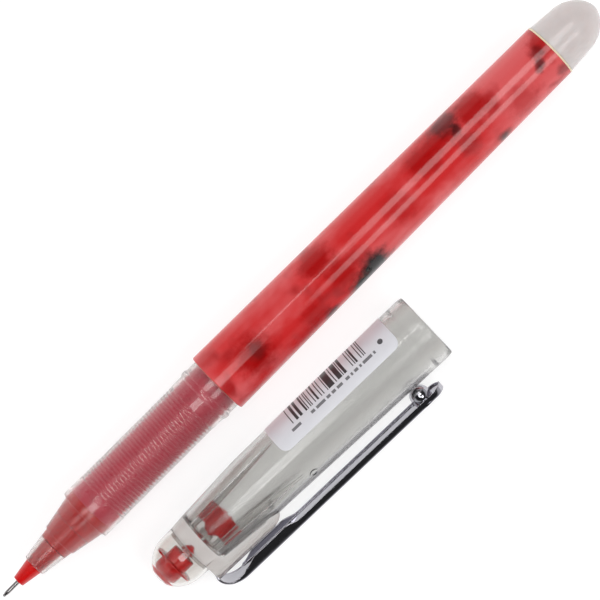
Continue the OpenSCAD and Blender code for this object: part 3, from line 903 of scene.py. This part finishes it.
def make_seal():
    """The red guide for the needle, with four fins."""
    fin_t, fin_r, core_r, bore_r = 0.9, 3.15, 1.72, 0.5
    core = rounded(
        [
            (SEAL_X, bore_r, 0),
            (SEAL_X, 0.9, 0.1),
            (12.3, core_r, 0.15),
            (SEAL_END, core_r, 0.12),
            (SEAL_END, 1.3, 0.05),
            (14.9, bore_r, 0.1),
        ]
    )
    fins = []
    for i in range(4):
        outline = [(12.2, 1.2), (SEAL_END - 0.1, 1.2), (SEAL_END - 0.1, fin_r), (12.2, fin_r)]
        turn = Matrix.Rotation(math.pi / 2 * i, 4, "X") @ Matrix.Rotation(math.pi / 2, 4, "X")
        fins.append(bevel(slab("fin", outline, -fin_t / 2, fin_t / 2, turn), 0.1))
    seal = combine(lathe("needle_guide", core, 64), fins, "UNION")
    placed(seal, CAP, CAP_RED, "cap", ["inner_seal"], sharp=30)


def make_label():
    """A thin film around a third of the cap, with rounded corners. Its UV is in millimetres."""
    t, lift, corner, across_steps = 0.07, 0.015, 1.6, 40
    radius = cap_r((LABEL_FROM + LABEL_TO) / 2)
    width = math.radians(LABEL_SWEEP) * radius
    xs = [LABEL_FROM + corner * (1 - math.cos(math.pi / 2 * i / 8)) for i in range(9)]
    xs += [LABEL_FROM + corner + (LABEL_TO - LABEL_FROM - 2 * corner) * i / 24 for i in range(1, 24)]
    xs += [LABEL_TO - corner * (1 - math.sin(math.pi / 2 * i / 8)) for i in range(9)]
    mesh = bmesh.new()
    uv = mesh.loops.layers.uv.new("print")
    flat = {}
    skins = []
    for lift_now in (lift, lift + t):
        rows = []
        for x in xs:
            edge = max(0.0, corner - min(x - LABEL_FROM, LABEL_TO - x))
            inset = corner - math.sqrt(max(0.0, corner**2 - edge**2))
            row = []
            for k in range(across_steps + 1):
                v = inset + (width - 2 * inset) * k / across_steps
                # across starts near the top and runs down the pen's side
                lean = math.radians(LABEL_START) + v / radius
                r = cap_r(x) + lift_now
                vert = mesh.verts.new((x, r * math.sin(lean), r * math.cos(lean)))
                flat[vert] = (x - LABEL_FROM, v)
                row.append(vert)
            rows.append(row)
        skins.append(rows)
    low, high = skins
    for rows in skins:
        for one, two in zip(rows, rows[1:]):
            for k in range(across_steps):
                mesh.faces.new((one[k], one[k + 1], two[k + 1], two[k]))
    for side in (0, -1):
        for i in range(len(xs) - 1):
            mesh.faces.new((low[i][side], low[i + 1][side], high[i + 1][side], high[i][side]))
    for end in (0, -1):
        for k in range(across_steps):
            mesh.faces.new((low[end][k], low[end][k + 1], high[end][k + 1], high[end][k]))
    for face in mesh.faces:
        for loop in face.loops:
            loop[uv].uv = flat[loop.vert]
    placed(finish_mesh("cap_film", mesh), CAP, LABEL, "cap", ["cap_label"])


# ---- The clip ----


def clip_section(half_w, depth, floor):
    """The channel's section as (sideways, inwards from the back).

    The CAD's two sides are equally deep. Here the upper one is deeper and the lower one shallower.
    """
    upper_extra, lower_less, full_from, least = 0.3, 0.25, 0.4, 0.02
    side_t = min(0.35, half_w * 0.45)
    channel = ramp((depth - floor) / full_from)
    upper = max(depth, floor + least) + upper_extra * channel
    lower = max(depth, floor + least) - lower_less * channel
    return rounded(
        [
            (-half_w, lower, 0.08),
            (-half_w, 0, 0.28),
            (half_w, 0, 0.28),
            (half_w, upper, 0.08),
            (half_w - side_t, upper, 0.08),
            (half_w - side_t, floor, 0.1),
            (-half_w + side_t, floor, 0.1),
            (-half_w + side_t, lower, 0.08),
        ],
        steps=4,
    )


def clip_stations():
    """The clip's middle line from the tongue's end round the loop to the arm's end.

    Each station is x, r, half width, depth and floor.
    """
    out = []
    barb, pitch, tooth_share, barbs_from, barbs_to = 0.2, 1.6, 0.55, 10.0, 18.0
    steps = 55
    for i in range(steps + 1):
        x = TONGUE_END - (TONGUE_END - LOOP_X - BEND_R) * i / steps
        tooth = ((x - barbs_from) % pitch) / pitch
        barbed = barbs_from <= x <= barbs_to and tooth < tooth_share
        wide = barb * (1 - tooth / tooth_share) if barbed else 0
        out.append((x, TONGUE_R, TONGUE_W / 2 + wide, CLIP_T, CLIP_T))
    centre = (LOOP_X + BEND_R, TONGUE_R + BEND_R)
    for i in range(1, 10):
        a = math.radians(270 - 10 * i)
        half_w = TONGUE_W / 2 + (CLIP_W - TONGUE_W) / 2 * i / 9
        x, r = centre[0] + BEND_R * math.cos(a), centre[1] + BEND_R * math.sin(a)
        out.append((x, r, half_w, CLIP_T, CLIP_T))
    arm_r, arm_x = CLIP_BACK - CLIP_T / 2, LOOP_X + LOOP_LEN
    for i in range(1, 19):
        a = math.radians(5 * i)
        x, r = arm_x - LOOP_LEN * math.cos(a), centre[1] + (arm_r - centre[1]) * math.sin(a)
        out.append((x, r, CLIP_W / 2, CLIP_T + 0.35 * ramp((i - 8) / 10), CLIP_T))
    deep, shallow = 1.8, 1.0
    swell_from, rise, swell_to, fall, fine_to = 11.8, 3.2, 24.6, 3.4, 25.5
    fine_step, coarse_step = 0.4, 1.2
    end_c = CLIP_END - CLIP_W / 2
    x = arm_x
    while x < fine_to:
        x += fine_step
        swell = ramp((x - swell_from) / rise) * ramp((swell_to - x) / fall)
        out.append((x, arm_r, CLIP_W / 2, shallow + (deep - shallow) * swell, CLIP_T))
    while x < end_c - coarse_step:
        x += coarse_step
        out.append((x, arm_r, CLIP_W / 2, shallow, CLIP_T))
    for i in range(13):
        a = math.radians(6.4 * i)
        floor = CLIP_T if i < 11 else shallow - 0.05
        half_w = CLIP_W / 2 * math.cos(a)
        out.append((end_c + CLIP_W / 2 * math.sin(a), arm_r, half_w, shallow, floor))
    return out


def quarter_circle(centre, radius, steps):
    """A sphere's outline from its pole on the axis to its widest point."""
    angles = [math.pi / 2 * i / steps for i in range(steps + 1)]
    return [(centre - radius * math.cos(a), radius * math.sin(a)) for a in angles]


def make_clip():
    """One strip of chromed steel: barbed tongue, loop, channelled arm and the bump near its end."""
    stations = clip_stations()
    middles = [Vector((x, r)) for x, r, _, _, _ in stations]
    rings = []
    for i, (x, r, half_w, depth, floor) in enumerate(stations):
        tangent = (middles[min(i + 1, len(middles) - 1)] - middles[max(i - 1, 0)]).normalized()
        outward = Vector((-tangent.y, tangent.x))
        ring = []
        for w, n in clip_section(half_w, depth, floor):
            at = middles[i] + outward * (CLIP_T / 2 - n)
            ring.append((at.x, -at.y, w))
        rings.append(ring)
    clip = loft("spring_clip", rings)
    inner_r = CLIP_BACK - CLIP_T
    nub_c = inner_r - NUB_H + NUB_R
    skirt_r, skirt_end = NUB_R + 0.35, inner_r + 0.2
    skirt = rounded(
        [
            (inner_r - 0.05, NUB_R, 0.3),
            (inner_r + 0.02, skirt_r, 0),
            (skirt_end, skirt_r, 0),
            (skirt_end, 0, 0),
        ]
    )
    # The bump's own X becomes the clip's -Y, which is outwards
    turn = Matrix(((0, 0, 1, NUB_X), (-1, 0, 0, 0), (0, -1, 0, 0), (0, 0, 0, 1)))
    nub = lathe("nub", quarter_circle(nub_c, NUB_R, 14) + skirt, 64)
    nub.data.transform(turn)
    hollow_r, hollow_end = NUB_R - 0.45, CLIP_BACK + 0.5
    inside = quarter_circle(nub_c, hollow_r, 10) + [(hollow_end, hollow_r + 0.1), (hollow_end, 0)]
    hollow = lathe("hollow", inside, 48)
    hollow.data.transform(turn)
    combine(clip, [nub], "UNION")
    combine(clip, [hollow], "DIFFERENCE")
    set_down(clip, CLIP, CHROME, 40)
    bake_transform(clip)
    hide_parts("clip_tongue", "clip_arm")


# ---- CAD nodes that stay ----


def dress(node, look):
    """Gives a CAD node that stays its material."""
    data = frame["nodes"][node].data
    data.materials.clear()
    data.materials.append(look)


def dress_nodes():
    dress("barrel_tube", CREAM)
    dress("tail_plug", WHITE)
    dress("ball_spring", WIRE)
    dress("tip_ball", CARBIDE)
    dress("seal_pad", SILICONE)


# ---- Studio ----


def make_floor():
    """A pale table top, in metres, just below the pen and the cap."""
    half, top = 2.5, -0.00002
    square = ((-half, -half), (half, -half), (half, half), (-half, half))
    mesh = bmesh.new()
    mesh.faces.new([mesh.verts.new((x, y, top)) for x, y in square])
    floor = finish_mesh("table_top", mesh)
    floor.data.materials.append(floor_look())


def area_light(name, at, aim, size, power, glossy=True):
    data = bpy.data.lights.new(name, "AREA")
    data.shape = "RECTANGLE"
    data.size, data.size_y = size
    data.energy = power
    light = bpy.data.objects.new(name, data)
    bpy.context.scene.collection.objects.link(light)
    light.location = at
    light.rotation_euler = (Vector(aim) - Vector(at)).to_track_quat("-Z", "Y").to_euler()
    light.visible_glossy = glossy
    light.visible_camera = False
    return light


def panel(name, lean, width, from_x, to_x, radiance):
    """A lamp along the pen and one metre from it, turned by lean from straight above towards the cap.

    Its X is in metres from the ball.
    """
    distance = 1.0
    lean = math.radians(lean)
    middle = Vector(((from_x + to_x) / 2, -math.sin(lean) * distance, math.cos(lean) * distance))
    size = (to_x - from_x, width)
    power = radiance * math.pi * size[0] * size[1]
    light = area_light(name, pen_start + middle, pen_start, size, power)
    light.rotation_euler = (-lean, 0, 0)


def make_lights():
    """Panels that the shiny pieces reflect, two soft lamps that they don't, and a sky dark overhead."""
    panel("grip_panel", 2, 0.5, -0.2, -0.042, 5.0)
    panel("grip_side_panel", 54, 0.22, -0.2, -0.042, 4.0)
    panel("thin_strip", -17, 0.08, -0.035, 0.09, 6.0)
    panel("first_panel", -17, 0.5, 0.09, 0.42, 4.2)
    panel("second_panel", 28, 0.56, 0.05, 0.42, 3.9)
    tent_size, tent_power = (1.6, 1.6), 8.5
    area_light("tent_left", (-0.6, 1.0, 1.3), (0, 0, 0), tent_size, tent_power, glossy=False)
    area_light("tent_right", (0.6, -1.0, 1.3), (0, 0, 0), tent_size, tent_power, glossy=False)

    world = bpy.data.worlds.new("studio")
    bpy.context.scene.world = world
    world.use_nodes = True
    tree = world.node_tree
    tree.nodes.clear()
    place = tree.nodes.new("ShaderNodeTexCoord")
    parts = tree.nodes.new("ShaderNodeSeparateXYZ")
    shades = tree.nodes.new("ShaderNodeValToRGB")
    background = tree.nodes.new("ShaderNodeBackground")
    output = tree.nodes.new("ShaderNodeOutputWorld")
    tree.links.new(place.outputs["Generated"], parts.inputs[0])
    tree.links.new(parts.outputs["Z"], shades.inputs[0])
    tree.links.new(shades.outputs[0], background.inputs["Color"])
    tree.links.new(background.outputs[0], output.inputs["Surface"])
    blue_share = 1.01
    # Height of the direction looked in, and the sky's brightness there
    ramp_points = [(0.0, 0.7), (0.2, 0.6), (0.45, 0.5), (0.6, 0.03), (0.85, 0.03), (0.97, 0.04)]
    shades.color_ramp.elements.remove(shades.color_ramp.elements[0])
    for i, (at, level) in enumerate(ramp_points):
        element = shades.color_ramp.elements[0] if i == 0 else shades.color_ramp.elements.new(at)
        element.position = at
        element.color = (level, level, level * blue_share, 1)
    background.inputs["Strength"].default_value = 1.0


def make_camera():
    """Looks almost straight down on the pen's middle, with the pen from lower left to upper right."""
    along, side, height = 77.0, 12.74, 540.0
    tilt, roll, spin = math.radians(0.649), math.radians(-1.351), math.radians(-44.982)
    data = bpy.data.cameras.new("camera")
    data.sensor_width = 36.0
    data.lens = 192.0
    data.clip_start, data.clip_end = 0.01, 20.0
    camera = bpy.data.objects.new("camera", data)
    bpy.context.scene.collection.objects.link(camera)
    turn = Matrix.Rotation(tilt, 4, "Y") @ Matrix.Rotation(roll, 4, "X") @ Matrix.Rotation(spin, 4, "Z")
    camera.matrix_world = Matrix.Translation(pen_start + Vector((along, side, height)) * MM) @ turn
    bpy.context.scene.camera = camera


bpy.context.scene.view_settings.view_transform = "Standard"
make_camera()
make_film()
make_eraser()
make_section()
make_refill()
make_cap()
make_crown()
make_seal()
make_label()
make_clip()
dress_nodes()
make_floor()
make_lights()
